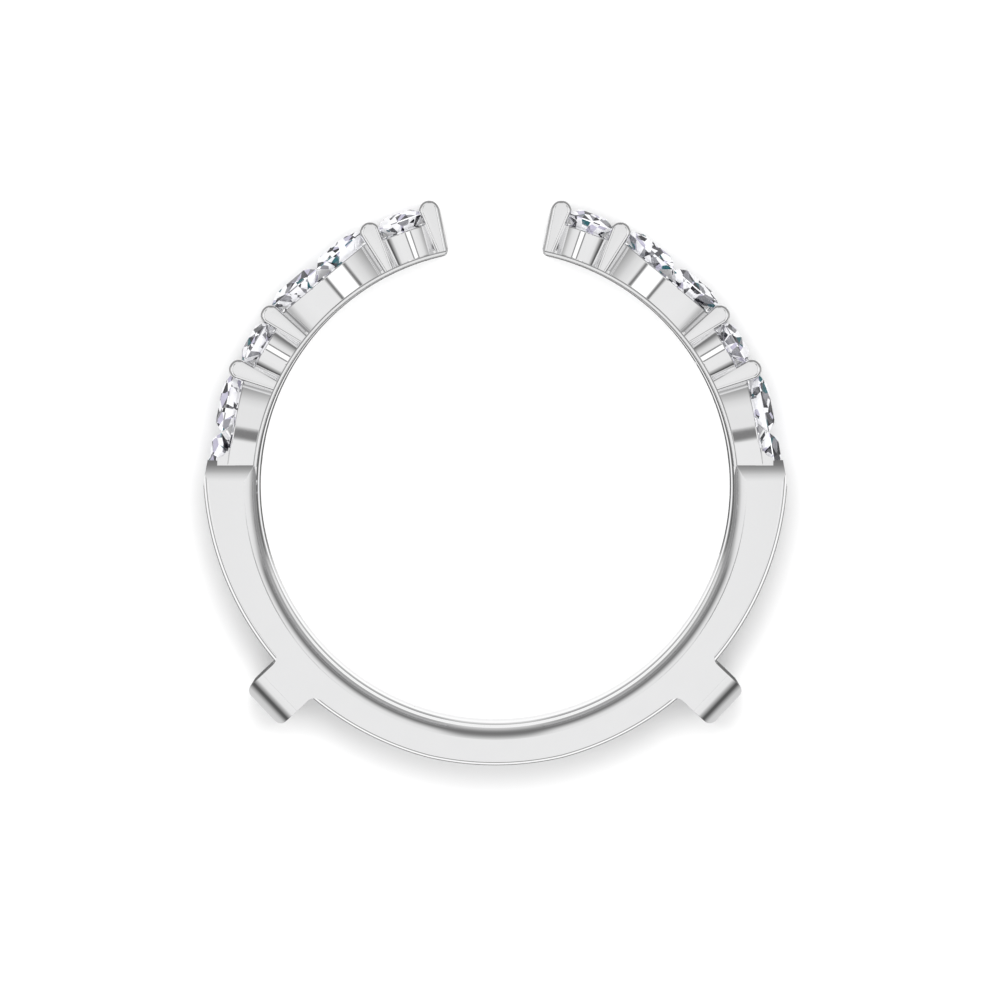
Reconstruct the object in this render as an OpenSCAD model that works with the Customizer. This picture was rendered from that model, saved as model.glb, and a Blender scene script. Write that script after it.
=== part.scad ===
// Ring guard enhancer: two open bands of white gold with set stones, held apart by two
// bridges, so that a solitaire ring nests between them.
// The ring lies on its side. Z runs along the finger, X across it, and +Y to the opening.
// The origin is on the finger's axis, in the plane that the ring rests on. Sizes are mm.

/* [Finger hole] */
// Inner diameter of the ring
finger_d = 17.35; // [17.1:0.05:17.6]
// Rounding of the inner edges, for a comfortable fit
comfort_r = 0.6; // [0.4:0.05:0.65]

/* [Bands] */
// Width of each band along the finger
band_w = 2.3; // [2.2:0.05:2.4]
// Space between the two bands
band_gap = 2.1; // [1.8:0.1:2.4]
// Radial thickness at the bottom
shank_t = 1.4; // [1.35:0.01:1.45]
// Radial thickness at the sides, where the shank is widest
side_t = 1.93; // [1.88:0.01:1.98]
// How far the domed outer side falls off from its middle to its edges
dome_h = 0.15; // [0.1:0.01:0.18]
// Half of the opening at the top, in degrees
open_deg = 11.4; // [11.2:0.1:11.7]

/* [Bridges] */
// Angle of each bridge from the bottom, in degrees
bridge_deg = 46.6; // [42:0.2:52]
// Length of each bridge round the finger
bridge_w = 1.82; // [1.6:0.02:2.0]
// Distance from the finger's axis to the bridge's outer face
bridge_out = 11.62; // [11.5:0.02:11.8]
// Rounding of the bridge as it arches from band to band
arch_r = 1.1; // [0.9:0.05:1.2]
// Rounding of the bridge's corners
corner_r = 0.2; // [0.15:0.01:0.25]
// Hollow fillet between bridge and shank
root_r = 0.28; // [0.24:0.01:0.32]

/* [Settings] */
// How far the settings' own circle lies above the finger's axis, which thickens the top
head_up = 0.22; // [0.18:0.01:0.26]
// Angle that one round setting takes, from prong to prong, in degrees
round_deg = 12.9; // [12.8:0.1:13.1]
// Angle that one marquise frame takes, from prong to prong, in degrees
marquise_deg = 26.7; // [26.5:0.1:26.9]
// Outer diameter of a round basket
basket_d = 2.06; // [2.0:0.02:2.12]
// Length of a marquise frame from point to point
frame_l = 5.0; // [4.9:0.05:5.05]
// Height of the settings' rims, above the finger's radius round the settings' own centre
rim_h = 1.06; // [1.02:0.01:1.08]
// Radius of a prong's head
prong_r = 0.37; // [0.34:0.01:0.38]
// Height of a prong's top, above the same
prong_h = 1.85; // [1.82:0.01:1.88]
// Distance between the two prongs of a pair
prong_gap = 0.86; // [0.84:0.01:0.92]

/* [Stones] */
// Diameter of a round stone
round_d = 1.8; // [1.7:0.02:1.84]
// Width of a half-marquise stone, across its blunt end
half_w = 1.95; // [1.86:0.01:1.98]
// Length of two half-marquise stones, from point to point
pair_l = 4.4; // [4.3:0.02:4.44]
// Height of the stones' tables, above the same as the rims
table_h = 1.7; // [1.68:0.01:1.74]
// Height of a crown, from girdle to table
crown_h = 0.27; // [0.24:0.01:0.29]
// Depth of a pavilion, from girdle to its point
pavilion_h = 0.7; // [0.62:0.02:0.72]
// Air between a stone and the metal round it
stone_air = 0.04; // [0.03:0.01:0.05]

/* [Hidden] */
STATIONS = ["end_round", "first_pair_upper", "first_pair_lower",
            "mid_round", "second_pair_upper", "second_pair_lower"];
SIDES = ["left", "right"];
BANDS = ["back", "front"];
STONES = [for (b = BANDS) for (s = SIDES) for (n = STATIONS) str(n, "_", s, "_", b)];

finger_r = finger_d / 2;
bottom_r = finger_r + shank_t;
side_r = finger_r + side_t;
bands_w = 2 * band_w + band_gap;
pitch_z = band_w + band_gap;
$fn = 64;

// The shank's outline is where three discs overlap. All have their centres above the axis,
// and the two side discs have theirs past it, which makes the shank thicken up the sides.
disc_up = 0.86;
disc_over = 0.39;
bottom_disc_r = bottom_r + disc_up;
side_disc_r = norm([side_r + disc_over, disc_up]);

// Shoulder: where the shank ends under the second marquise frame. From lean_y up its outer side
// leans inwards.
shoulder_y = 1.15;
shoulder_fillet_r = 0.35;
shoulder_lean = 9.8;
lean_y = 0.05;

// Angles from the top, in degrees, of the prong pairs and setting centres
first_prong_deg = open_deg + 2.25;
end_round_deg = first_prong_deg + round_deg / 2;
second_prong_deg = first_prong_deg + round_deg;
first_frame_deg = second_prong_deg + marquise_deg / 2;
third_prong_deg = second_prong_deg + marquise_deg;
mid_round_deg = third_prong_deg + round_deg / 2;
fourth_prong_deg = third_prong_deg + round_deg;
second_frame_deg = fourth_prong_deg + marquise_deg / 2;
rounds_at = [end_round_deg, mid_round_deg];
frames_at = [first_frame_deg, second_frame_deg];
prongs_at = [first_prong_deg, second_prong_deg, third_prong_deg, fourth_prong_deg];

// Distances from the settings' own centre, along a setting's middle line
rim_r = finger_r + rim_h;
table_r = finger_r + table_h;
girdle_r = table_r - crown_h;
girdle_t = 0.04;
culet_room = 0.1;
pocket_floor_r = girdle_r - girdle_t - pavilion_h - culet_room;
claw_over_girdle = 0.12;
seat_top_r = girdle_r + claw_over_girdle;

// Rail under the settings, and the prongs' legs, which stand in it
rail_t = 0.3;
rail_r = finger_r + rail_t;
rail_w = 1.6;
prong_head_r = finger_r + prong_h - prong_r;
prong_foot_r = 0.22;
leg_l = prong_head_r - finger_r;
end_lean = asin((prong_r - prong_foot_r) / leg_l) + open_deg - first_prong_deg;
end_corner_r = 0.25;

// Pockets under the stones, which leave a ledge for the girdles to sit on
ledge_w = 0.24;
round_pocket_d = round_d - 2 * ledge_w;
pair_pocket_w = half_w - 2 * ledge_w;
pair_pocket_l = pair_l - 4 * ledge_w;

// How far a tool body runs past what it cuts or joins
beyond = 1;

// Places its children at an angle from the top, +Y outwards and +X round the ring.
module at(deg) rotate(-deg) children();

// The same for a setting, round the settings' own centre.
module at_setting(deg) translate([0, head_up]) at(deg) children();

// Extrudes an outline outwards, from one distance to another.
module outwards(from, to) translate([0, from]) rotate([-90, 0, 0]) linear_extrude(to - from) children();

// Repeats its children on the left half.
module both_sides() {
    children();
    mirror([1, 0, 0]) children();
}

// A lens with two points: the outline of a marquise stone and of its frame.
module marquise(l, w) {
    arc_r = (l * l / 4 + w * w / 4) / w;
    intersection() {
        translate([0, w / 2 - arc_r]) circle(arc_r, $fn = 128);
        translate([0, arc_r - w / 2]) circle(arc_r, $fn = 128);
    }
}

// What is left between a corner and the arc that rounds it.
module corner_waste(r) difference() {
    translate([-beyond, -beyond]) square(r + beyond);
    translate([r, r]) circle(r);
}

// Everything that a band may fill: round the finger, with rounded inner edges.
module band_room() rotate_extrude($fn = 180) difference() {
    translate([finger_r, -band_w / 2]) square([bridge_out, band_w]);
    translate([finger_r, -band_w / 2]) corner_waste(comfort_r);
    translate([finger_r, band_w / 2]) mirror([0, 1]) corner_waste(comfort_r);
}

// A disc with a domed rim.
module domed_disc(r) {
    dome_r = (pow(band_w / 2, 2) + pow(dome_h, 2)) / (2 * dome_h);
    rotate_extrude($fn = 180) intersection() {
        translate([0, -band_w / 2]) square([r, band_w]);
        union() {
            translate([0, -band_w / 2]) square([r - beyond, band_w]);
            translate([r - dome_r, 0]) circle(dome_r, $fn = 180);
        }
    }
}

// The plain lower part of a band, up to the shoulders.
module shank() {
    big = 2 * bridge_out;
    intersection() {
        translate([0, disc_up]) domed_disc(bottom_disc_r);
        translate([disc_over, disc_up]) domed_disc(side_disc_r);
        translate([-disc_over, disc_up]) domed_disc(side_disc_r);
        translate([-big / 2, shoulder_y - big, -big / 2]) cube(big);
        translate([-side_r, lean_y]) rotate(-shoulder_lean) translate([0, -big, -big / 2]) cube(2 * big);
        mirror([1, 0]) translate([-side_r, lean_y]) rotate(-shoulder_lean)
            translate([0, -big, -big / 2]) cube(2 * big);
    }
}

// Fills the corner between the shoulder's top and the frame's wall with a hollow fillet.
module shoulder_fillet() {
    root = 0.3;
    in_x = (rim_r - (shoulder_y - head_up) * cos(second_frame_deg)) / sin(second_frame_deg);
    translate([in_x, shoulder_y, -band_w / 2]) linear_extrude(band_w) difference() {
        translate([-root, -root]) square(shoulder_fillet_r + root);
        translate([shoulder_fillet_r, shoulder_fillet_r]) circle(shoulder_fillet_r);
    }
}

// A pair of prongs: legs that widen upwards, and round heads. A lean brings the legs' outer sides
// in line with the band's end.
module prong_pair(lean = 0) for (side = [-1, 1]) translate([0, prong_head_r, side * prong_gap / 2]) {
    sphere(prong_r);
    rotate(-lean) translate([0, -leg_l]) rotate([-90, 0, 0]) cylinder(h = leg_l, r1 = prong_foot_r, r2 = prong_r);
}

// The settings of one half: rail, baskets, frames and prongs, before the seats are cut.
module settings_blank() {
    rotate([0, 0, 90 - second_frame_deg]) rotate_extrude(angle = second_frame_deg - open_deg, $fn = 180)
        translate([finger_r - beyond, -rail_w / 2]) square([rail_r - finger_r + beyond, rail_w]);
    for (deg = rounds_at) at_setting(deg) outwards(finger_r - beyond, rim_r) circle(d = basket_d);
    for (deg = frames_at) at_setting(deg) outwards(finger_r - beyond, rim_r) marquise(frame_l, band_w);
    for (i = [0:3]) at_setting(prongs_at[i]) prong_pair(i == 0 ? end_lean : 0);
}

// The air that the stones of one half need: pockets below, and seats cut into the prongs.
module stone_room() {
    room_d = round_d + 2 * stone_air;
    room_l = pair_l + 2 * stone_air;
    room_w = half_w + 2 * stone_air;
    pocket_top_r = rim_r + beyond / 2;
    for (deg = rounds_at) at_setting(deg) {
        outwards(pocket_floor_r, pocket_top_r) circle(d = round_pocket_d);
        outwards(rim_r, seat_top_r) circle(d = room_d);
    }
    for (deg = frames_at) at_setting(deg) {
        outwards(pocket_floor_r, pocket_top_r) marquise(pair_pocket_l, pair_pocket_w);
        outwards(rim_r, seat_top_r) marquise(room_l, room_w);
    }
    at_setting(second_frame_deg) outwards(seat_top_r - beyond / 10, bridge_out) intersection() {
        marquise(room_l, room_w);
        translate([-room_w / 4, -room_w]) square([room_l, 2 * room_w]);
    }
}

// One band about its own middle plane.
module band() difference() {
    intersection() {
        band_room();
        union() {
            shank();
            both_sides() {
                settings_blank();
                shoulder_fillet();
            }
        }
    }
    both_sides() {
        stone_room();
        at(open_deg) translate([0, finger_r, -band_w]) linear_extrude(2 * band_w) corner_waste(end_corner_r);
    }
}

// A bridge seen along the finger, at the top: a bar with round corners on the shank's outline.
module bridge_face() {
    fillet_x = bridge_w / 2 + root_r;
    fillet_y = sqrt(pow(bottom_r + root_r, 2) - pow(fillet_x, 2));
    fillet_w = fillet_x * bottom_r / (bottom_r + root_r) - bridge_w / 2;
    root_y = bottom_r - 0.5;
    difference() {
        translate([-bridge_w / 2, root_y]) square([bridge_w, bridge_out - root_y]);
        for (side = [0, 1]) mirror([side, 0]) translate([-bridge_w / 2, bridge_out]) mirror([0, 1])
            corner_waste(corner_r);
    }
    for (side = [0, 1]) mirror([side, 0]) difference() {
        translate([bridge_w / 2 - 0.1, root_y]) square([fillet_w + 0.1, fillet_y - root_y]);
        translate([fillet_x, fillet_y]) circle(root_r);
    }
}

// A bridge seen round the ring: an arch over the space between the bands.
module bridge_arch() {
    under_r = bottom_r + 0.25;
    under_corner_r = 0.3;
    difference() {
        translate([0, finger_r]) square([bands_w, bridge_out - finger_r]);
        translate([0, bridge_out]) mirror([0, 1]) corner_waste(arch_r);
        translate([bands_w, bridge_out]) mirror([1, 0]) mirror([0, 1]) corner_waste(arch_r);
        difference() {
            translate([band_w, 0]) square([band_gap, under_r]);
            translate([band_w, under_r]) mirror([0, 1]) corner_waste(under_corner_r);
            translate([band_w + band_gap, under_r]) mirror([1, 0]) mirror([0, 1])
                corner_waste(under_corner_r);
        }
    }
}

// One bridge, which joins the two bands outside the shank.
module bridge() intersection() {
    linear_extrude(bands_w) bridge_face();
    translate([-bridge_w, 0]) rotate([0, -90, 180]) mirror([0, 1]) linear_extrude(2 * bridge_w) bridge_arch();
}

// All the metal, soldered into one: two bands and two bridges.
module guard_frame() color("gainsboro") {
    for (z = [band_w / 2, band_w / 2 + pitch_z]) translate([0, 0, z]) band();
    for (side = [-1, 1]) at(180 + side * bridge_deg) bridge();
}

// Where two lines meet, each given by a direction out of the stone and a distance from its middle.
function meet(n1, d1, n2, d2) = [d1 * n2[1] - d2 * n1[1], n1[0] * d2 - n2[0] * d1] / cross(n1, n2);

// A cut stone, from its girdle's corners and their directions outwards, two for each facet of the
// table, and from the table's own corners. Crown and pavilion have main facets, with smaller ones
// between them, as a brilliant has.
module cut_stone(girdle, out, table, keel) {
    n = len(table);
    star = 0.5;
    lower = 0.75;
    crown_mid = [for (i = [0:n - 1]) let (j = (i + 1) % n,
        in_i = (1 - star) * out[2 * i] * table[i] + star * out[2 * i] * girdle[2 * i],
        in_j = (1 - star) * out[2 * j] * table[j] + star * out[2 * j] * girdle[2 * j])
        meet(out[2 * i], in_i, out[2 * j], in_j)];
    below_mid = [for (i = [0:n - 1]) let (j = (i + 1) % n,
        in_i = lower * out[2 * i] * keel[i] + (1 - lower) * out[2 * i] * girdle[2 * i],
        in_j = lower * out[2 * j] * keel[j] + (1 - lower) * out[2 * j] * girdle[2 * j])
        meet(out[2 * i], in_i, out[2 * j], in_j)];
    function lift(points, z) = [for (p = points) [p[0], p[1], z]];
    points = concat(lift(table, crown_h), lift(crown_mid, crown_h * (1 - star)), lift(girdle, 0),
                    lift(girdle, -girdle_t), lift(below_mid, -girdle_t - pavilion_h * lower),
                    lift(keel, -girdle_t - pavilion_h));
    T = 0;
    C = n;
    G = 2 * n;
    H = 4 * n;
    P = 6 * n;
    K = 7 * n;
    faces = concat(
        [[for (i = [n - 1:-1:0]) T + i]],
        [for (i = [0:n - 1]) let (j = (i + 1) % n) [T + i, T + j, C + i]],
        [for (i = [0:n - 1]) let (h = (i + n - 1) % n) each
            [[T + i, C + i, G + 2 * i], [T + i, G + 2 * i, C + h]]],
        [for (i = [0:n - 1]) let (j = (i + 1) % n) each
            [[C + i, G + 2 * i + 1, G + 2 * i], [C + i, G + 2 * j, G + 2 * i + 1]]],
        [for (i = [0:2 * n - 1]) let (j = (i + 1) % (2 * n)) each
            [[G + i, G + j, H + i], [G + j, H + j, H + i]]],
        [for (i = [0:n - 1]) let (j = (i + 1) % n) each
            [[P + i, H + 2 * i, H + 2 * i + 1], [P + i, H + 2 * i + 1, H + 2 * j]]],
        [for (i = [0:n - 1]) let (h = (i + n - 1) % n) each
            [[K + i, H + 2 * i, P + i], [K + i, P + h, H + 2 * i]]],
        [for (i = [0:n - 1]) let (j = (i + 1) % n) [K + i, P + i, K + j]],
        [[for (i = [0:n - 1]) K + i]]);
    polyhedron(points, faces, convexity = 2);
}

// A round brilliant with eight main facets.
module round_stone() {
    mains = 8;
    table_share = 0.56;
    culet_share = 0.04;
    function ring(r, count) = [for (i = [0:count - 1]) r * [cos(360 * i / count), sin(360 * i / count)]];
    cut_stone(ring(round_d / 2, 2 * mains), ring(1, 2 * mains),
              ring(table_share * round_d / 2, mains), ring(culet_share * round_d / 2, mains));
}

// Half of a marquise: a point, two bowed sides and a straight blunt end. Its point lies at -X.
module half_stone() {
    arc_r = (pow(pair_l, 2) + pow(half_w, 2)) / (4 * half_w);
    arc_y = half_w / 2 - arc_r;
    split = 0.035;
    point_in = 0.56;
    side_in = 0.36;
    blunt_in = 0.27;
    // Where girdle corners lie along one side, as shares of the way from the point to the blunt end.
    // Every second one is the middle of a main facet.
    side_shares = [0.2, 0.4, 0.6, 0.8, 1];
    function on_arc(share) = let (x = (share - 1) * pair_l / 2 - share * split)
        [x, sqrt(pow(arc_r, 2) - pow(x, 2)) + arc_y];
    function arc_out(p) = (p - [0, arc_y]) / arc_r;
    function flip(p) = [p[0], -p[1]];
    side = [for (share = side_shares) on_arc(share)];
    side_out = [for (p = side) arc_out(p)];
    last = len(side) - 1;
    girdle = concat([[-pair_l / 2, 0]], [for (p = side) flip(p)], [[-split, 0]], [for (i = [last:-1:0]) side[i]]);
    out = concat([[-1, 0]], [for (p = side_out) flip(p)], [[1, 0]], [for (i = [last:-1:0]) side_out[i]]);
    table_in = [point_in, side_in, side_in, blunt_in, side_in, side_in];
    mains = len(table_in);
    table = [for (i = [0:mains - 1]) girdle[2 * i] - table_in[i] * out[2 * i]];
    middle = [-0.4 * pair_l / 2, 0];
    keel = [for (p = table) middle + 0.06 * (p - middle)];
    cut_stone(girdle, out, table, keel);
}

// Which stone a setting holds, and its angle from the top.
function station_deg(k) = [end_round_deg, first_frame_deg, first_frame_deg,
                           mid_round_deg, second_frame_deg, second_frame_deg][k];

// One stone in its place: station 0 to 5 from the opening down, side 0 or 1, band 0 or 1.
module stone(k, s, b) color("aliceblue") translate([0, 0, band_w / 2 + b * pitch_z]) mirror([1 - s, 0, 0])
    at_setting(station_deg(k)) translate([0, girdle_r]) rotate([-90, 0, 0]) {
        if (k % 3 == 0) round_stone();
        if (k % 3 == 1) half_stone();
        if (k % 3 == 2) mirror([1, 0, 0]) half_stone();
    }

guard_frame();
for (b = [0, 1]) for (s = [0, 1]) for (k = [0:5])
    stone(k, s, b);
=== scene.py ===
import math
import bmesh
import bpy
from mathutils import Matrix, Vector


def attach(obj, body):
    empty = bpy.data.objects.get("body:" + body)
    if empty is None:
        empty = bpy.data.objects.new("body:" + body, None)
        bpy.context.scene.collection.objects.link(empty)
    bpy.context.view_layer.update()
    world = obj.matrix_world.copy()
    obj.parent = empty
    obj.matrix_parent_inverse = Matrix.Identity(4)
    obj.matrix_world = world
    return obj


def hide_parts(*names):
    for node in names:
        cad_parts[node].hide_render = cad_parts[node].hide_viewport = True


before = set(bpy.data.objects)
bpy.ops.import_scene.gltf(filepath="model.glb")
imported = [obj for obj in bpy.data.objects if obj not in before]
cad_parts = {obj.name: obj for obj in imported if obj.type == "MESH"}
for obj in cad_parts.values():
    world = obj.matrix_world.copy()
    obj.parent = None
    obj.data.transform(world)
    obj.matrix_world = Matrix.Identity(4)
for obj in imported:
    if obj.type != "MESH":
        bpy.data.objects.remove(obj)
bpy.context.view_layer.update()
bpy.ops.object.select_all(action="DESELECT")
print("frame loaded:", len(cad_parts), "nodes")

mm = 0.001                   # the metal is modelled in millimetres and scaled at the end


class Graph:
    # A node tree. Its method node makes every node.
    def __init__(self, owner):
        owner.use_nodes = True
        self.tree = owner.node_tree
        self.tree.nodes.clear()

    def node(self, kind, settings, inputs, output=0):
        made = self.tree.nodes.new("ShaderNode" + kind)
        stops = settings.pop("stops", None)
        stepped = settings.pop("stepped", False)
        for name, value in settings.items():
            setattr(made, name, value)
        if stops:
            ramp = made.color_ramp
            ramp.interpolation = "CONSTANT" if stepped else "LINEAR"
            while len(ramp.elements) < len(stops):
                ramp.elements.new(1)
            for element, (place, level) in zip(ramp.elements, stops):
                element.position = place
                grey = isinstance(level, (int, float))
                element.color = (level, level, level, 1) if grey else (*level, 1)
        for key, value in inputs.items():
            if isinstance(value, Wire):
                self.tree.links.new(value.socket, made.inputs[key])
            else:
                made.inputs[key].default_value = value
        return Wire(self, made.outputs[output]) if made.outputs else made

    def parts(self, vector, axes="XYZ"):
        # The parts of a vector, one wire for each axis.
        return [self.node("SeparateXYZ", {}, {0: vector}, axis) for axis in axes]

    def fade(self, value, start, end, low=0, high=1):
        # Goes softly from low to high while the value goes from start to end.
        return self.node("MapRange", {"interpolation_type": "SMOOTHSTEP"},
                         {0: value, 1: start, 2: end, 3: low, 4: high})


class Wire:
    # An output socket. Arithmetic on it adds Math nodes.
    def __init__(self, graph, socket):
        self.graph = graph
        self.socket = socket

    def maths(self, operation, *more):
        return self.graph.node("Math", {"operation": operation}, dict(enumerate((self, *more))))

    def __add__(self, other):
        return self.maths("ADD", other)

    def __sub__(self, other):
        return self.maths("SUBTRACT", other)

    def __rsub__(self, other):
        return self.graph.node("Math", {"operation": "SUBTRACT"}, {0: other, 1: self})

    def __mul__(self, other):
        return self.maths("MULTIPLY", other)

    def __truediv__(self, other):
        return self.maths("DIVIDE", other)

    def mix(self, other, share):
        return self * (1 - share) + other * share

    __radd__ = __add__
    __rmul__ = __mul__


view = {
    "distance": 300,         # from the eye to the ring, mm
    "tiltDeg": 1.45,         # the eye leans this far towards the ring's opening
    "aimZ": 5.0,             # height of the point that it looks at, mm
    "shiftX": -0.009,        # where the middle of the picture lies from the finger's axis, mm
    "shiftY": -0.255,
    "lens": 299.45,
    "nearest": 10,           # nothing closer to the eye is drawn, mm
}


def addCamera():
    tilt = math.radians(view["tiltDeg"])
    up = Vector((0, math.cos(tilt), -math.sin(tilt)))
    back = Vector((0, math.sin(tilt), math.cos(tilt)))
    aim = Vector((view["shiftX"], 0, view["aimZ"])) + up * view["shiftY"]
    place = (aim + back * view["distance"]) * mm
    bpy.ops.object.camera_add(location=place, rotation=(-tilt, 0, 0))
    camera = bpy.context.object
    camera.name = "photo_camera"
    camera.data.lens = view["lens"]
    camera.data.clip_start = view["nearest"] * mm
    bpy.context.scene.camera = camera


# What the polished metal sees round it. Angles are in degrees, those of the belts from straight up.
studio = {
    # brightness from straight up to straight down, aslant between the ring's opening and its sides,
    "openBelt": ((38, 0.87), (47, 0.77), (59, 0.48), (71, 0.22), (79, 0.22), (87, 0.3), (100, 0.36),
                 (127, 0.42), (141, 0.6), (148, 1.1), (172, 1.05), (180, 0.85)),
    # straight towards its opening,
    "headBelt": ((20, 0.88), (33, 0.7), (46, 0.42), (60, 0.24), (73, 0.19), (82, 0.215), (91, 0.27),
                 (100, 0.37), (109, 0.5), (127, 0.66), (141, 0.8), (148, 1.1), (172, 1.05), (180, 0.85)),
    "headFrom": 0.3, "headFull": 0.12,       # begins and is full at these sideways parts of a direction
    # towards its bottom,
    "footBelt": ((37, 0.92), (55, 0.88), (65, 0.45), (76, 0.1), (84, 0.12), (94, 0.4), (106, 0.68),
                 (140, 0.74), (149, 1.1), (161, 1.1), (167, 0.3), (173, 0.13), (180, 0.13)),
    "footFrom": 0.1, "footFull": -0.25,      # the same for its part towards the opening
    # and to its left and right
    "sideBelt": ((37, 0.905), (60, 0.84), (70, 0.68), (87, 0.42), (104, 0.29), (132, 0.28), (144, 0.6),
                 (150, 1.1), (161, 1.05), (167, 0.4), (174, 0.35), (177, 0.8), (180, 0.8)),
    "sideFromDeg": 20, "sideFullDeg": 6,     # the same for its angle from straight sideways
    "boxX": 18, "boxY": 3,   # a soft box on each side, seen this far from straight up
    "boxLong": 15, "boxShort": 10,
    "boxTurn": 45,
    "boxLevel": 1.25,
    "boxEdge": (0.72, 0.95), # where its light fades out, in shares of its size
    "rimLevel": 0.22,        # the dark frame round it
    "rimEdge": (1.0, 1.28),
    "patchScale": 1.6,       # what shines through the stones: bright, with a few dark and tinted patches
    "patches": ((0.0, 0.02), (0.4, 0.04), (0.43, 1.0), (0.62, 1.3), (0.65, 0.4), (1.0, 0.3)),
    "tintScale": 1.1,
    "tints": ((0.0, (0.35, 0.75, 0.8)), (0.38, (0.45, 0.8, 0.85)), (0.44, (1, 1, 1)),
              (0.58, (1, 1, 1)), (0.66, (0.86, 0.82, 0.98))),
}


def beltLevel(g, x, y, polar, flat):
    belts = {}
    for key in ("openBelt", "headBelt", "footBelt", "sideBelt"):
        stops = [(deg / 180, level) for deg, level in studio[key]]
        belts[key] = g.node("ValToRGB", {"stops": stops}, {0: polar / 180})
    sideways = (x / flat).maths("ABSOLUTE")
    sideFrom, sideFull = (math.cos(math.radians(studio[key])) for key in ("sideFromDeg", "sideFullDeg"))
    ahead = g.fade(sideways, studio["headFrom"], studio["headFull"])
    behind = g.fade(y / flat, studio["footFrom"], studio["footFull"])
    level = belts["openBelt"].mix(belts["headBelt"], ahead)
    level = level.mix(belts["footBelt"], behind)
    return level.mix(belts["sideBelt"], g.fade(sideways, sideFrom, sideFull))


def withSoftBoxes(g, level, x, y, polar, flat):
    # The boxes stand alike on both sides.
    toDeg = polar / flat
    turn = math.radians(studio["boxTurn"])
    away = x.maths("ABSOLUTE") * toDeg - studio["boxX"]
    along = y * toDeg - studio["boxY"]
    u = (away * math.cos(turn) + along * math.sin(turn)) / studio["boxLong"]
    v = (along * math.cos(turn) - away * math.sin(turn)) / studio["boxShort"]
    spread = (u * u + v * v).maths("SQRT")
    level = level.mix(studio["rimLevel"], g.fade(spread, *studio["rimEdge"], 1, 0))
    return level.mix(studio["boxLevel"], g.fade(spread, *studio["boxEdge"], 1, 0))


def throughStones(g, direction):
    patch = g.node("TexNoise", {}, {"Vector": direction, "Scale": studio["patchScale"],
                                    "Detail": 0.0}, "Fac")
    tint = g.node("TexNoise", {}, {"Vector": direction, "Scale": studio["tintScale"],
                                   "Detail": 0.0}, "Color")
    bright = g.node("ValToRGB", {"stops": studio["patches"]}, {0: patch}, "Color")
    colour = g.node("ValToRGB", {"stops": studio["tints"]}, {0: g.parts(tint, "X")[0]}, "Color")
    return g.node("MixRGB", {"blend_type": "MULTIPLY"}, {0: 1.0, 1: colour, 2: bright}, "Color")


def addStudio():
    world = bpy.data.worlds.new("studio")
    bpy.context.scene.world = world
    g = Graph(world)
    direction = g.node("TexCoord", {}, {}, "Generated")
    x, y, z = g.parts(direction)
    polar = z.maths("ARCCOSINE") * (180 / math.pi)
    flat = (x * x + y * y + 1e-9).maths("SQRT")
    level = withSoftBoxes(g, beltLevel(g, x, y, polar, flat), x, y, polar, flat)
    plain = g.node("CombineXYZ", {}, {0: level, 1: level, 2: level})
    seen = g.node("LightPath", {}, {}, "Is Transmission Ray")
    colour = g.node("MixRGB", {}, {0: seen, 1: plain, 2: throughStones(g, direction)}, "Color")
    background = g.node("Background", {}, {"Color": colour, "Strength": 1.0})
    g.node("OutputWorld", {}, {"Surface": background})
    bpy.context.scene.view_settings.view_transform = "Standard"


# The lights fall on the floor and the stones. The metal doesn't mirror them.
lights = {
    "lampPlace": (0, 9, 80), # over the settings, mm
    "lampWidth": 26,
    "lampPower": 0.042,
    "fillSun": 1.3,          # an even light from above
    "fillWidthDeg": 170,
}


def newestLight(name, energy):
    light = bpy.context.object
    light.name = name
    light.data.energy = energy
    light.visible_glossy = False
    light.visible_transmission = False
    return light.data


def addLights():
    bpy.ops.object.light_add(type="AREA", location=[v * mm for v in lights["lampPlace"]])
    lamp = newestLight("floor_lamp", lights["lampPower"])
    lamp.shape = "DISK"
    lamp.size = lights["lampWidth"] * mm
    bpy.ops.object.light_add(type="SUN")
    newestLight("fill_light", lights["fillSun"]).angle = math.radians(lights["fillWidthDeg"])


ground = {
    "tone": 0.9,
    "roughness": 0.8,
}


def addFloor():
    bpy.ops.mesh.primitive_plane_add(size=1, location=(0, 0, 0))
    floor = newest("floor")
    floor.visible_glossy = False
    material = bpy.data.materials.new("pale_floor")
    g = Graph(material)
    tone = ground["tone"]
    shader = g.node("BsdfPrincipled", {}, {"Base Color": (tone, tone, tone, 1),
                                           "Roughness": ground["roughness"], "Specular IOR Level": 0.0})
    g.node("OutputMaterial", {}, {"Surface": shader})
    floor.data.materials.append(material)


polish = {
    "tones": ((0.3, (0.875, 0.875, 0.88)), (0.7, (0.89, 0.89, 0.895))),
    "bevelR": 0.015 * mm,    # worn edges, only in the shading
    "roughLow": 0.03,        # roughness between well polished and rubbed places
    "roughHigh": 0.1,
    "cloudScale": 900.0,     # rubbed places, about a millimetre across
    "hairScale": 9000.0,     # hairlines left by the polishing,
    "hairStretch": 0.05,     # drawn out along the finger
    "hairDepth": 0.00012 * mm,
    "hairStrength": 0.3,
    "smoothDeg": 13,         # edges flatter than this are shaded smooth,
    "faceWeight": 50,        # and the normals there follow the larger faces
    "faceThresh": 0.0001,
}


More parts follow.
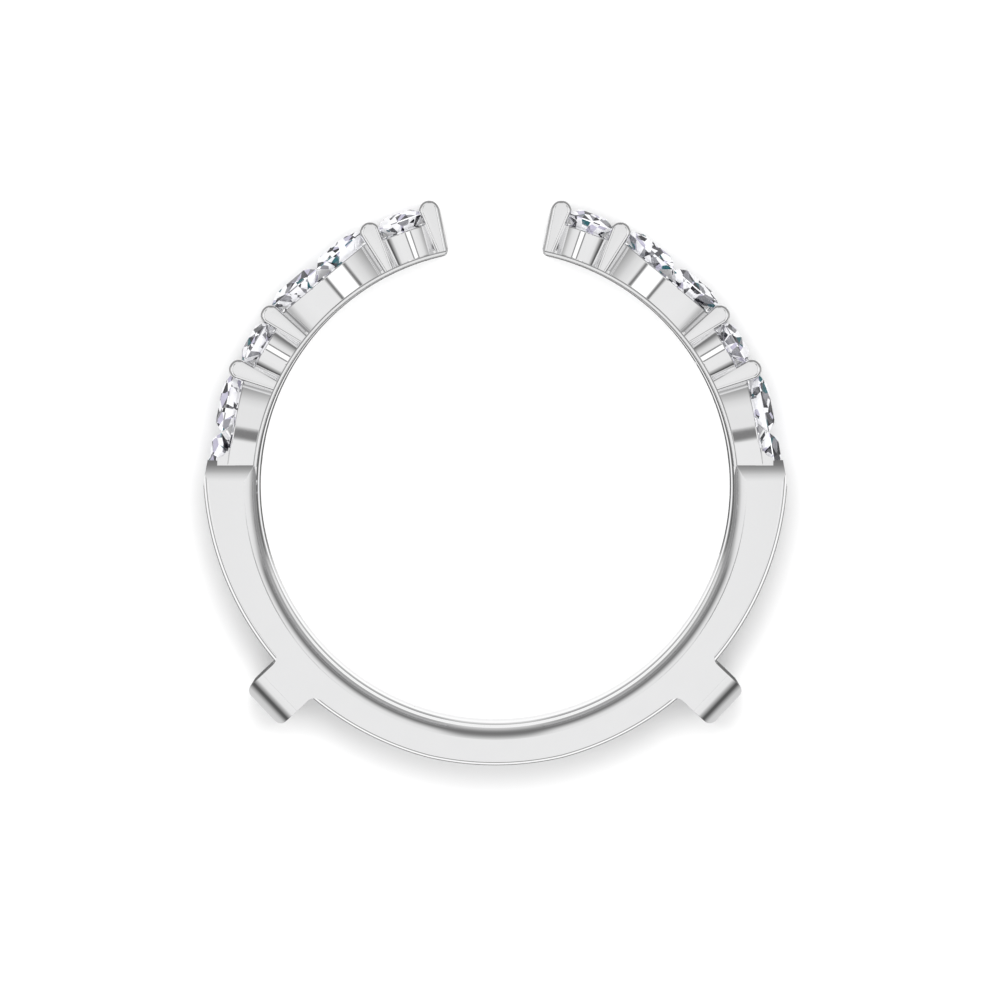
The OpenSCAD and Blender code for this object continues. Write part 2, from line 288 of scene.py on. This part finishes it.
def metalMaterial():
    material = bpy.data.materials.new("white_gold")
    g = Graph(material)
    place = g.node("TexCoord", {}, {}, "Object")
    cloud = g.node("TexNoise", {}, {"Vector": place, "Scale": polish["cloudScale"], "Detail": 3.0}, "Fac")
    stretched = g.node("Mapping", {}, {"Vector": place, "Scale": (1.0, 1.0, polish["hairStretch"])})
    hair = g.node("TexNoise", {}, {"Vector": stretched, "Scale": polish["hairScale"], "Detail": 2.0}, "Fac")
    rough = polish["roughLow"] + (polish["roughHigh"] - polish["roughLow"]) * cloud * hair
    tone = g.node("ValToRGB", {"stops": polish["tones"]}, {0: cloud}, "Color")
    worn = g.node("Bevel", {"samples": 8}, {"Radius": polish["bevelR"]})
    normal = g.node("Bump", {}, {"Strength": polish["hairStrength"], "Distance": polish["hairDepth"],
                                 "Height": hair, "Normal": worn})
    shader = g.node("BsdfPrincipled", {}, {"Base Color": tone, "Metallic": 1.0, "Roughness": rough,
                                           "Normal": normal})
    g.node("OutputMaterial", {}, {"Surface": shader})
    return material


cut = {
    "snap": 0.03,            # facets whose normals differ less than this count as one
    "paintedReflectionCellScale": 2300.0,     # painted reflections of other facets, as cells about 0.4 mm across
    # the tones are painted reflections and painted fire: black, teal, grey, lilac and near-white facet
    # colours
    "tones": ((0.0, (0.005, 0.005, 0.008)), (0.09, (0.005, 0.07, 0.085)), (0.14, (0.05, 0.05, 0.055)),
              (0.22, (0.2, 0.2, 0.215)), (0.33, (0.44, 0.42, 0.53)), (0.43, (0.85, 0.85, 0.87))),
    "crownFrom": 0.2,        # facets that face outwards more than this are the crown,
    "crownPaintedShadeShare": 0.68,      # which gets painted shade, drawn darker: its chances shrink to this share
    "ior": 2.42,
    "through": 0.35,         # share of the light that passes through
    "paintedGlow": 0.25,            # painted glow: the painted facet tones shine as emission, as if lit from inside the stone
}


def halvesAlike(g, vector):
    # Makes the left half like the right one.
    x, y, z = g.parts(vector)
    return g.node("CombineXYZ", {}, {0: x.maths("ABSOLUTE"), 1: y, 2: z})


def paintedReflectionStoneMaterial():
    # Each facet's colour is painted reflection: it shows a few painted reflections, most of them bright.
    material = bpy.data.materials.new("clear_stone_painted_reflections")
    g = Graph(material)
    place = g.node("TexCoord", {}, {}, "Object")
    normal = g.node("NewGeometry", {}, {}, "True Normal")
    normal = g.node("VectorMath", {"operation": "SNAP"}, {0: normal, 1: (cut["snap"],) * 3})
    paintedReflectionCells = g.node("TexVoronoi", {}, {"Vector": halvesAlike(g, place), "Scale": cut["paintedReflectionCellScale"]}, "Color")
    key = g.node("VectorMath", {"operation": "ADD"}, {0: halvesAlike(g, normal), 1: paintedReflectionCells})
    paintedReflectionPick = g.node("TexWhiteNoise", {}, {"Vector": key}, "Value")
    placeX, placeY = g.parts(place, "XY")
    normalX, normalY = g.parts(normal, "XY")
    far = (placeX * placeX + placeY * placeY).maths("SQRT")
    outward = (placeX * normalX + placeY * normalY) / far
    # painted shade: the crown's facets are drawn darker
    paintedShadeCrown = outward.maths("GREATER_THAN", cut["crownFrom"])
    paintedReflectionPick = paintedReflectionPick * (1 - paintedShadeCrown * (1 - cut["crownPaintedShadeShare"]))
    # painted reflections: each facet's colour stands in for what it reflects
    tone = g.node("ValToRGB", {"stops": cut["tones"], "stepped": True}, {0: paintedReflectionPick}, "Color")
    # the painted reflections also shine as a painted glow through Emission
    shader = g.node("BsdfPrincipled", {}, {"Base Color": tone, "IOR": cut["ior"], "Roughness": 0.0,
                                           "Transmission Weight": cut["through"], "Emission Color": tone,
                                           "Emission Strength": cut["paintedGlow"]})
    g.node("OutputMaterial", {}, {"Surface": shader})
    return material


def only(obj):
    bpy.ops.object.select_all(action="DESELECT")
    obj.select_set(True)
    bpy.context.view_layer.objects.active = obj


def newest(name):
    obj = bpy.context.object
    obj.name = name
    return obj


def startEdit(obj, mode="VERT"):
    only(obj)
    bpy.ops.object.mode_set(mode="EDIT")
    bpy.ops.mesh.select_mode(type=mode)
    bpy.ops.mesh.select_all(action="DESELECT")


def endEdit():
    bpy.ops.object.mode_set(mode="OBJECT")


def pickVerts(obj, test):
    shape = bmesh.from_edit_mesh(obj.data)
    for vert in shape.verts:
        vert.select_set(test(vert.co))
    shape.select_flush(True)
    bmesh.update_edit_mesh(obj.data)


def pickEdges(obj, test):
    # Selects the edges that pass a test of their two ends.
    shape = bmesh.from_edit_mesh(obj.data)
    for edge in shape.edges:
        edge.select_set(test(*(v.co for v in edge.verts)))
    bmesh.update_edit_mesh(obj.data)


def pickFaces(obj, test):
    # Selects the faces that pass a test of their normal and centre.
    shape = bmesh.from_edit_mesh(obj.data)
    for face in shape.faces:
        face.select_set(test(face.normal, face.calc_center_median()))
    bmesh.update_edit_mesh(obj.data)


def roundEdges(radius, segments):
    bpy.ops.mesh.bevel(offset=radius, offset_type="OFFSET", segments=segments, affect="EDGES")


def settle(obj):
    # Puts the place and turn of an object into its mesh.
    only(obj)
    bpy.ops.object.transform_apply(location=True, rotation=True, scale=True)


def block(name, size, place=(0, 0, 0)):
    bpy.ops.mesh.primitive_cube_add(size=1, scale=size)
    made = newest(name)
    made.location = place
    settle(made)
    return made


def rod(name, radius, length, place=(0, 0, 0), vertices=96):
    # Stands along Z.
    bpy.ops.mesh.primitive_cylinder_add(vertices=vertices, radius=radius, depth=length)
    made = newest(name)
    made.location = place
    settle(made)
    return made


def combine(body, tool, operation):
    only(body)
    step = body.modifiers.new(operation.lower(), "BOOLEAN")
    step.operation = operation
    step.object = tool
    step.solver = "MANIFOLD"
    bpy.ops.object.modifier_apply(modifier=step.name)
    bpy.data.objects.remove(tool)
    return body


def mirrored(obj, name, scale=(-1, 1, 1)):
    only(obj)
    bpy.ops.object.duplicate()
    twin = newest(name)
    twin.scale = scale
    settle(twin)
    startEdit(twin)
    bpy.ops.mesh.select_all(action="SELECT")
    bpy.ops.mesh.normals_make_consistent(inside=False)
    endEdit()
    return twin


def turned(obj, deg, up=0):
    # From the local frame, where Z points outwards, to an angle from the top.
    obj.matrix_world = (Matrix.Translation((0, up, 0)) @ Matrix.Rotation(-math.radians(deg), 4, "Z")
                        @ Matrix.Rotation(-math.pi / 2, 4, "X") @ obj.matrix_world)
    settle(obj)
    return obj


# Sizes in millimetres. Y points from the ring's bottom to its opening, Z along the finger.
ring = {
    "fingerR": 8.675,        # inside of the finger hole
    "bandW": 2.3,            # one band along the finger
    "bandGap": 2.1,          # space between the bands
    "edgeFlatR": 9.09,       # where the rounding of the hole's edges begins on the shank
    "edgeFromDeg": 15,       # slopes at which that rounding leaves the flat faces
    "edgeToDeg": 70,         # and meets the hole
    "headEdgeShare": 0.12,   # how much of that rounding the settings have
    "gapEdgeR": 0.03,        # rounding on the side of the gap between the bands,
    "frontEdge": (0.2, 0.6), # and that of the front band, outwards and along the finger
    "shankT": 1.4,           # thickness at the bottom
    "sideT": 1.93,           # thickness at the sides
    "domeH": 0.15,           # fall of the outer side towards its edges
    "domeAt": (0, 0.3, 0.55, 0.75, 0.92),    # where the dome is cut, from the band's middle
    "edgeR": 0.09,           # polished edge between outer side and face,
    "edgeDegs": (0, 12, 24, 36, 48, 60),     # and where it is cut
    "discUp": 0.86,          # centres of the discs that shape the outline
    "discOver": 0.39,
    "openDeg": 11.4,         # half of the opening at the top
    "endCornerR": 0.22,      # rounding of each end's corner at the finger hole
    "shoulderY": 1.15,       # where the shank ends under the second marquise
    "shoulderRun": 1.1,      # how far from that end it rolls off, and to which slope
    "rollDeg": 44,
    "leanDeg": 9.8,          # the shoulders' outer sides lean in by this much,
    "leanY": 0.05,           # from this height above the finger's axis
    "shoulderRootR": 0.35,   # hollow between a shoulder's top and the frame above it
    "shoulderRootW": 1.9,
}
halfW = ring["bandW"] / 2
pitchZ = ring["bandW"] + ring["bandGap"]
bandsW = ring["bandW"] + pitchZ
fingerR = ring["fingerR"]
bottomR = fingerR + ring["shankT"]
sideR = fingerR + ring["sideT"]
steps = 360                  # facets round the ring
blankR = 13                  # outside of a blank ring, well outside the real one
close = 1e-4                 # points nearer than this count as one


def openRing(name, holeR, half):
    # A flat blank ring with square edges.
    blank = rod(name, blankR, 2 * half, vertices=steps)
    startEdit(blank, "FACE")
    for z in (-half, half):
        pickFaces(blank, lambda n, c, z=z: abs(c.z - z) < close)
        bpy.ops.mesh.inset(thickness=blankR - holeR, use_even_offset=False)
    pickFaces(blank, lambda n, c: abs(c.z) > half - close and c.xy.length < 1)
    bpy.ops.mesh.bridge_edge_loops()
    endEdit()
    return blank


def ringBlank(share=1):
    # All that a band may fill: a flat ring with rounded inner edges.
    start, end = (math.sin(math.radians(ring[key])) for key in ("edgeFromDeg", "edgeToDeg"))
    roundR = share * (ring["edgeFlatR"] - fingerR) / (end - start)
    innerR = fingerR - roundR * (1 - end)
    full = halfW + roundR * (1 - math.cos(math.radians(ring["edgeFromDeg"])))
    blank = openRing("band", innerR, full)
    startEdit(blank, "EDGE")
    for z, radius, segments in ((-full, roundR, 20), (full, ring["gapEdgeR"], 6)):
        pickEdges(blank, lambda a, b, z=z: max(a.xy.length, b.xy.length) < innerR + close
                  and max(abs(a.z - z), abs(b.z - z)) < close)
        roundEdges(radius, segments)
    endEdit()
    slab = block("slab", (3 * blankR, 3 * blankR, 2 * halfW))
    combine(slab, rod("hole", fingerR, 4 * halfW, vertices=steps), "DIFFERENCE")
    return combine(blank, slab, "INTERSECT")


def frontEdge():
    # The front band's edge towards the gap, which shows behind that of the back band.
    deep, tall = ring["frontEdge"]
    blank = openRing("front_edge", fingerR, halfW)
    startEdit(blank, "EDGE")
    pickEdges(blank, lambda a, b: max(a.xy.length, b.xy.length) < fingerR + close and min(a.z, b.z) > 0)
    roundEdges(deep, 14)
    bpy.ops.mesh.select_mode(type="VERT")
    pickVerts(blank, lambda p: p.z > 0 and p.xy.length < fingerR + deep + close)
    bpy.ops.transform.resize(value=(1, 1, tall / deep), center_override=(0, 0, halfW))
    # a margin, so that no face of the band is touched twice
    margin = 0.2
    pickVerts(blank, lambda p: p.z < 0)
    bpy.ops.transform.translate(value=(0, 0, -margin))
    endEdit()
    return blank


def domedDisc(x, y, radius):
    # A disc whose rim is domed, with a small round where it meets the band's flat faces.
    domeR = (halfW ** 2 + ring["domeH"] ** 2) / (2 * ring["domeH"])
    edgeR = ring["edgeR"]
    edgeZ = halfW - edgeR
    over = 0.1               # beyond the faces the rim falls steeply
    overDeg = 72
    domeFall = {z: domeR - math.sqrt(domeR ** 2 - z ** 2) for z in ring["domeAt"]}
    edgeFall = {edgeZ + edgeR * math.sin(angle): domeR - math.sqrt(domeR ** 2 - edgeZ ** 2)
                + edgeR * (1 - math.cos(angle)) for angle in map(math.radians, ring["edgeDegs"])}
    falls = {**domeFall, **edgeFall}
    top = max(falls)
    falls[halfW + over] = falls[top] + (halfW + over - top) * math.tan(math.radians(overDeg))
    disc = rod("disc", radius, 2 * (halfW + over), vertices=steps)
    startEdit(disc)
    for z in falls:
        for side in (-1, 1):
            if z < halfW and (z or side > 0):
                bpy.ops.mesh.select_all(action="SELECT")
                bpy.ops.mesh.bisect(plane_co=(0, 0, side * z), plane_no=(0, 0, 1))
    for z, fall in falls.items():
        share = (radius - fall) / radius
        pickVerts(disc, lambda p, z=z: abs(abs(p.z) - z) < close)
        bpy.ops.transform.resize(value=(share, share, 1), center_override=(0, 0, 0))
    endEdit()
    disc.location = (x, y, 0)
    settle(disc)
    return disc


def shoulderTool():
    # A block that ends the shank: it rolls off towards both faces, and its sides lean inwards.
    big, thick = 30, 8       # both well over the size of a band
    spare = 0.02             # the rolls begin this far outside the band's faces
    endY, faceZ = ring["shoulderY"], halfW + spare
    rollR = ring["shoulderRun"] / math.sin(math.radians(ring["rollDeg"]))
    topY = endY - ring["shoulderRun"] + rollR
    body = block("shoulder_block", (big, big, thick / 2), (0, endY - big / 2, 0))
    for side in (-1, 1):
        slab = block("roll", (2 * big, 2 * big, thick), (0, topY - big, side * (faceZ - thick / 2)))
        startEdit(slab, "EDGE")
        pickEdges(slab, lambda a, b: min(a.y, b.y) > topY - close
                  and max(abs(a.z - side * faceZ), abs(b.z - side * faceZ)) < close)
        roundEdges(rollR, 48)
        endEdit()
        combine(body, slab, "INTERSECT")
    for side in (-1, 1):
        bpy.ops.mesh.primitive_cube_add(size=2 * big)
        wedge = newest("lean")
        wedge.matrix_world = (Matrix.Translation((side * sideR, ring["leanY"], 0))
                              @ Matrix.Rotation(side * math.radians(ring["leanDeg"]), 4, "Z")
                              @ Matrix.Translation((-side * big, 0, 0)))
        settle(wedge)
        combine(body, wedge, "INTERSECT")
    return body


def shank():
    body = ringBlank()
    discUp, discOver = ring["discUp"], ring["discOver"]
    combine(body, domedDisc(0, discUp, bottomR + discUp), "INTERSECT")
    for side in (-1, 1):
        combine(body, domedDisc(side * discOver, discUp, math.hypot(sideR + discOver, discUp)), "INTERSECT")
    combine(body, shoulderTool(), "INTERSECT")
    body.name = "shank"
    return body


setting = {
    "headUp": 0.22,          # centre of the settings' circle above the finger's axis
    "rimH": 1.06,            # height of the rims over the finger hole
    "rimSlopeW": 0.26,       # a rim slopes over this width, down by this much
    "rimSlopeH": 0.07,
    "rimEdgeR": 0.035,
    "draftDeg": 5,           # walls lean in towards the finger,
    "lowFrameDraftDeg": 3.5, # those of the lower frames less
    "basketD": 2.06,
    "frameL": 5.0,
    "wallBelow": 0.8,        # how far walls run on into the hole, before they are trimmed,
    "prongBelow": 0.5,       # and prongs
    "prongR": 0.37,
    "prongFootR": 0.22,
    "prongEdgeR": 0.14,
    "prongH": 1.85,
    "prongGap": 0.86,        # between the middles of a pair
    "endProngDeg": 2.25,     # from an end to its prongs
    "roundDeg": 12.9,        # what one round setting takes, from prong to prong
    "marquiseDeg": 26.7,
    "railT": 0.3,            # rail between the settings
    "railW": 1.1,
    "railEdgeR": 0.1,
    "baseT": 0.14,           # thin base along the finger hole, just short of the band's faces
    "baseIn": 0.01,
    "baseEdge": 0.04,
    "baseToDeg": 84.6,       # from the opening's middle to where both end
    "railBackDeg": 0.2,      # and how far they keep back from the opening
    "ledgeW": 0.24,          # what a stone rests on
    "stoneAir": 0.04,
    "roundD": 1.8,
    "pairL": 4.4,
    "pairW": 1.95,
    "girdleH": 1.43,         # height of the girdles over the finger hole
    "floorH": 0.59,          # and of the pockets' floors
    "clawH": 0.12,           # how far a seat is cut above the girdle,
    "pocketUp": 0.5,         # and a pocket above the rims
    "shoulderCutH": 3,       # the shoulder gives way above the lowest stone, up to this height
    "shoulderCutX": -0.5,    # and from this far off its middle on, towards the bottom
}
headUp = setting["headUp"]
rimR = fingerR + setting["rimH"]
prongHeadR = fingerR + setting["prongH"] - setting["prongR"]
firstProng = ring["openDeg"] + setting["endProngDeg"]
prongsAt = [firstProng]
for span in (setting["roundDeg"], setting["marquiseDeg"], setting["roundDeg"]):
    prongsAt.append(prongsAt[-1] + span)
roundsAt = [prongsAt[0] + setting["roundDeg"] / 2, prongsAt[2] + setting["roundDeg"] / 2]
framesAt = [prongsAt[1] + setting["marquiseDeg"] / 2, prongsAt[3] + setting["marquiseDeg"] / 2]


def taperedPost(name, radius, low, high, draft=0, rim=False, vertices=96):
    # A round post along Z. Its wall can lean in downwards, and it can have a sloping rim on top.
    top = high - setting["rimSlopeH"] if rim else high
    foot = radius - (top - low) * math.tan(math.radians(draft))
    bpy.ops.mesh.primitive_cone_add(vertices=vertices, radius1=foot, radius2=radius, depth=top - low,
                                    location=(0, 0, (low + top) / 2))
    post = newest(name)
    settle(post)
    if rim:
        startEdit(post, "FACE")
        pickFaces(post, lambda n, c: n.z > 0.9)
        bpy.ops.mesh.inset(thickness=setting["rimSlopeW"], depth=setting["rimSlopeH"], use_even_offset=False)
        bpy.ops.mesh.select_mode(type="EDGE")
        pickEdges(post, lambda a, b: max(abs(a.z - top), abs(b.z - top)) < close)
        roundEdges(setting["rimEdgeR"], 3)
        endEdit()
    return post


def lens(name, length, width, low, high, draft=0, rim=False):
    # Two posts that overlap in a marquise, its length along X.
    arcR = (length ** 2 / 4 + width ** 2 / 4) / width
    halves = []
    for side in (-1, 1):
        post = taperedPost(name, arcR, low, high, draft, rim, vertices=300)
        post.location = (0, side * (arcR - width / 2), 0)
        settle(post)
        halves.append(post)
    return combine(halves[0], halves[1], "INTERSECT")


def prongPair(lean):
    # Two bars with round heads and narrow feet, flat towards the sides of the band, their edges rounded.
    r = setting["prongR"]
    length = prongHeadR - fingerR + setting["prongBelow"]
    foot = r - (r - setting["prongFootR"]) * length / (prongHeadR - fingerR)
    footX = -math.sin(lean) * length

    # An edge round one of a bar's two flat sides.
    def onFace(a, b):
        flush = abs(abs(a.y) - r) < close and abs(a.y - b.y) < close
        across = abs(a.z - b.z) < close and abs(a.x - b.x) > 0.2
        return flush and not across

    pair = None
    for side in (-1, 1):
        bpy.ops.mesh.primitive_cylinder_add(vertices=64, radius=r, depth=2 * r, rotation=(math.pi / 2, 0, 0))
        bar = newest("prong")
        settle(bar)
        startEdit(bar, "FACE")
        bpy.ops.mesh.select_all(action="SELECT")
        bpy.ops.mesh.bisect(plane_co=(0, 0, 0), plane_no=(0, 0, 1), use_fill=True, clear_inner=True)
        pickFaces(bar, lambda n, c: n.z < -0.9)
        bpy.ops.mesh.extrude_region_move(TRANSFORM_OT_translate={"value": (footX, 0, -length)})
        bpy.ops.transform.resize(value=(foot / r, 1, 1), center_override=(footX, 0, -length))
        bpy.ops.mesh.select_mode(type="EDGE")
        pickEdges(bar, onFace)
        roundEdges(setting["prongEdgeR"], 6)
        endEdit()
        bar.location = (0, side * setting["prongGap"] / 2, prongHeadR)
        settle(bar)
        pair = bar if pair is None else combine(pair, bar, "UNION")
    return pair


def railDisc(thick, width, edgeW, segments):
    disc = rod("rail", fingerR + thick, width, vertices=steps)
    startEdit(disc, "EDGE")
    pickEdges(disc, lambda a, b: min(a.xy.length, b.xy.length) > fingerR and abs(a.z - b.z) < close)
    roundEdges(edgeW, segments)
    endEdit()
    return disc


def rail():
    # A rail between the settings, and a thin base along the finger hole, almost as wide as the band.
    disc = railDisc(setting["railT"], setting["railW"], setting["railEdgeR"], 3)
    base = railDisc(setting["baseT"], 2 * (halfW - setting["baseIn"]), setting["baseEdge"], 1)
    combine(disc, base, "UNION")
    startEdit(disc)
    for deg, keep in ((ring["openDeg"] + setting["railBackDeg"], 1), (setting["baseToDeg"], -1)):
        angle = math.radians(deg)
        bpy.ops.mesh.select_all(action="SELECT")
        across = (keep * math.cos(angle), -keep * math.sin(angle), 0)
        bpy.ops.mesh.bisect(plane_co=(0, 0, 0), plane_no=across, use_fill=True, clear_inner=True)
    endEdit()
    return disc


def settingsHalf():
    low = fingerR - setting["wallBelow"]
    body = rail()
    for deg in roundsAt:
        post = taperedPost("basket", setting["basketD"] / 2, low, rimR, setting["draftDeg"], True)
        combine(body, turned(post, deg, headUp), "UNION")
    for deg, draft in zip(framesAt, (setting["draftDeg"], setting["lowFrameDraftDeg"])):
        wall = lens("frame", setting["frameL"], ring["bandW"], low, rimR, draft, True)
        combine(body, turned(wall, deg, headUp), "UNION")
    # the first pair leans, so that its outer side runs straight down to the end
    endLean = (math.asin((setting["prongR"] - setting["prongFootR"]) / (prongHeadR - fingerR))
               + math.radians(ring["openDeg"] - firstProng))
    for deg in prongsAt:
        pair = prongPair(endLean if deg == firstProng else 0)
        combine(body, turned(pair, deg, headUp), "UNION")
    body.name = "settings"
    return body


def stoneTools():
    # The pockets below the stones and the seats in the prongs.
    ledge, air = setting["ledgeW"], setting["stoneAir"]
    floorR = fingerR + setting["floorH"]
    seatTop = fingerR + setting["girdleH"] + setting["clawH"]
    pocketTop = rimR + setting["pocketUp"]
    seatL, seatW = setting["pairL"] + 2 * air, setting["pairW"] + 2 * air
    tools = []
    for deg in roundsAt:
        pocket = taperedPost("pocket", setting["roundD"] / 2 - ledge, floorR, pocketTop)
        tools.append(turned(pocket, deg, headUp))
        tools.append(turned(taperedPost("seat", setting["roundD"] / 2 + air, rimR, seatTop), deg, headUp))
    for deg in framesAt:
        pocket = lens("pocket", setting["pairL"] - 4 * ledge, setting["pairW"] - 2 * ledge,
                      floorR, pocketTop)
        tools.append(turned(pocket, deg, headUp))
        tools.append(turned(lens("seat", seatL, seatW, rimR, seatTop), deg, headUp))
    # the shoulder gives way above the lowest stone
    overlap = 0.1
    tall = lens("seat", seatL, seatW, seatTop - overlap, fingerR + setting["shoulderCutH"])
    startEdit(tall)
    bpy.ops.mesh.select_all(action="SELECT")
    bpy.ops.mesh.bisect(plane_co=(setting["shoulderCutX"], 0, 0), plane_no=(1, 0, 0),
                        use_fill=True, clear_inner=True)
    endEdit()
    tools.append(turned(tall, framesAt[1], headUp))
    return tools


def shoulderFillet():
    # Fills the corner between the shoulder's top and the frame's wall, with a hollow round.
    r, width = ring["shoulderRootR"], ring["shoulderRootW"]
    root = 0.3               # part of the block that lies inside the shoulder and the wall
    y = ring["shoulderY"]
    angle = math.radians(framesAt[1])
    inX = (rimR - (y - headUp) * math.cos(angle)) / math.sin(angle)
    body = block("fillet", (r + root, r + root, width), (inX + (r - root) / 2, y + (r - root) / 2, 0))
    return combine(body, rod("hollow", r, 2 * ring["bandW"], (inX + r, y + r, 0)), "DIFFERENCE")


def endCorner():
    # What comes off the corner between an end and the finger hole.
    r, spare = ring["endCornerR"], 0.3
    up = math.sqrt((fingerR + r) ** 2 - r ** 2)
    low = fingerR - spare
    tall = 3                 # more than the band's width
    corner = block("corner", (r + spare, up - low, tall), ((r - spare) / 2, (up + low) / 2, 0))
    combine(corner, rod("inside", r, tall + 1, (r, up, 0)), "DIFFERENCE")
    corner.rotation_euler.z = -math.radians(ring["openDeg"])
    settle(corner)
    return corner


def band():
    half = settingsHalf()
    combine(half, shoulderFillet(), "UNION")
    combine(half, endCorner(), "DIFFERENCE")
    combine(half, ringBlank(ring["headEdgeShare"]), "INTERSECT")
    count = len(roundsAt) + len(framesAt) + len(prongsAt)
    print("baskets, frames and pairs of prongs:", count, "on each half")
    body = shank()
    twin = mirrored(half, "settings_left")
    combine(body, half, "UNION")
    combine(body, twin, "UNION")
    for side in (1, -1):
        for tool in stoneTools():
            if side < 0:
                twin = mirrored(tool, "tool")
                bpy.data.objects.remove(tool)
                tool = twin
            combine(body, tool, "DIFFERENCE")
    print("band:", len(body.data.polygons), "faces")
    return body


bridgeSize = {
    "deg": 46.6,             # from the bottom
    "w": 1.82,               # round the finger
    "out": 11.62,            # outer face, from the finger's axis
    "inside": 0.5,           # how deep its foot runs into the shank
    "archR": 1.3,            # rounding from band to band, which leaves the flat sides with a slope
    "archFromDeg": 15,
    "archOver": 0.1,         # the outer face cuts the rounding off before it turns upright
    "cornerR": 0.3,
    "softR": 0.18,           # rounding of the edges along its sides
    "rootR": 0.36,           # hollow fillet to the shank,
    "rootLow": 0.13,         # which touches it this far under the middle of its outer side
    "underR": 0.25,          # height of the arch's underside over the shank
    "underCornerR": 0.3,
}


def bridgeRoots(bar, rootY):
    w, rootR = bridgeSize["w"], bridgeSize["rootR"]
    baseR = bottomR - bridgeSize["rootLow"]
    filletX = w / 2 + rootR
    filletY = math.sqrt((baseR + rootR) ** 2 - filletX ** 2)
    filletW = filletX * baseR / (baseR + rootR) - w / 2
    overlap = 0.1
    for side in (-1, 1):
        root = block("root", (filletW + overlap, filletY - rootY, bandsW),
                     (side * (w / 2 + (filletW - overlap) / 2), (rootY + filletY) / 2, bandsW / 2))
        combine(root, rod("hollow", rootR, 2 * bandsW, (side * filletX, filletY, bandsW / 2)), "DIFFERENCE")
        combine(bar, root, "UNION")


def bridgeArch():
    w, archR = bridgeSize["w"], bridgeSize["archR"]
    wide = bandsW + 2 * archR * (1 - math.cos(math.radians(bridgeSize["archFromDeg"])))
    top = bridgeSize["out"] + bridgeSize["archOver"]
    arch = block("arch", (3 * w, 2 * top, wide), (0, 0, bandsW / 2))
    startEdit(arch, "EDGE")
    pickEdges(arch, lambda a, b: min(a.y, b.y) > bridgeSize["out"] and abs(a.x - b.x) > 1)
    roundEdges(archR, 36)
    endEdit()
    return arch


def bridgeUnder():
    # The space between the bands, with rounded corners below the arch.
    underR = bottomR + bridgeSize["underR"]
    under = block("under", (2 * bridgeSize["w"], underR, ring["bandGap"]), (0, underR / 2, bandsW / 2))
    startEdit(under, "EDGE")
    pickEdges(under, lambda a, b: min(a.y, b.y) > underR - close and abs(a.x - b.x) > 0.1)
    roundEdges(bridgeSize["underCornerR"], 8)
    endEdit()
    return under


def bridge():
    # Made at the top, Y outwards and Z along the finger.
    w, out = bridgeSize["w"], bridgeSize["out"]
    rootY = bottomR - bridgeSize["inside"]
    bar = block("bridge", (w, out - rootY, bandsW), (0, (out + rootY) / 2, bandsW / 2))
    startEdit(bar, "EDGE")
    pickEdges(bar, lambda a, b: min(a.y, b.y) > out - close and abs(a.z - b.z) > 1)
    roundEdges(bridgeSize["cornerR"], 8)
    endEdit()
    bridgeRoots(bar, rootY)
    combine(bar, bridgeArch(), "INTERSECT")
    # soft edges along its sides, but not on the foot inside the shank
    sharpDeg, footH = 50, 0.2
    startEdit(bar, "EDGE")
    shape = bmesh.from_edit_mesh(bar.data)
    for edge in shape.edges:
        sharp = len(edge.link_faces) == 2 and edge.calc_face_angle() > math.radians(sharpDeg)
        edge.select_set(sharp and min(v.co.y for v in edge.verts) > rootY + footH)
    bpy.ops.mesh.bevel(offset=bridgeSize["softR"], offset_type="OFFSET", segments=4, affect="EDGES",
                       clamp_overlap=True)
    endEdit()
    return combine(bar, bridgeUnder(), "DIFFERENCE")


def guardFrame():
    # The band is made round z = 0, its face towards the gap upwards. The back band is its mirror image.
    body = band()
    back = mirrored(body, "back_band", (1, 1, -1))
    combine(body, frontEdge(), "INTERSECT")
    for obj, z in ((body, halfW), (back, halfW + pitchZ)):
        obj.location = (0, 0, z)
        settle(obj)
    combine(body, back, "UNION")
    for side in (-1, 1):
        piece = bridge()
        piece.rotation_euler = (0, 0, -math.radians(180 + side * bridgeSize["deg"]))
        settle(piece)
        combine(body, piece, "UNION")
    print("bands joined by two bridges")
    body.name = "ring_metal"
    return body


def finishMetal(body, material):
    only(body)
    bpy.ops.object.shade_smooth_by_angle(angle=math.radians(polish["smoothDeg"]))
    weights = body.modifiers.new("weights", "WEIGHTED_NORMAL")
    weights.keep_sharp = True
    weights.weight = polish["faceWeight"]
    weights.thresh = polish["faceThresh"]
    bpy.ops.object.modifier_apply(modifier=weights.name)
    body.scale = (mm, mm, mm)
    settle(body)
    body.data.materials.clear()
    body.data.materials.append(material)
    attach(body, "root")
    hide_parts("guard_frame")


addCamera()
addStudio()
addLights()
addFloor()
print("camera, studio, lights and floor made")
metal = metalMaterial()
stoneWithPaintedReflections = paintedReflectionStoneMaterial()
print("materials made")
body = guardFrame()
finishMetal(body, metal)
print("metal:", len(body.data.polygons), "faces")
for name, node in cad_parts.items():
    if name != "guard_frame":
        for slot in node.material_slots:
            slot.material = stoneWithPaintedReflections
print("stones:", len(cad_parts) - 1)
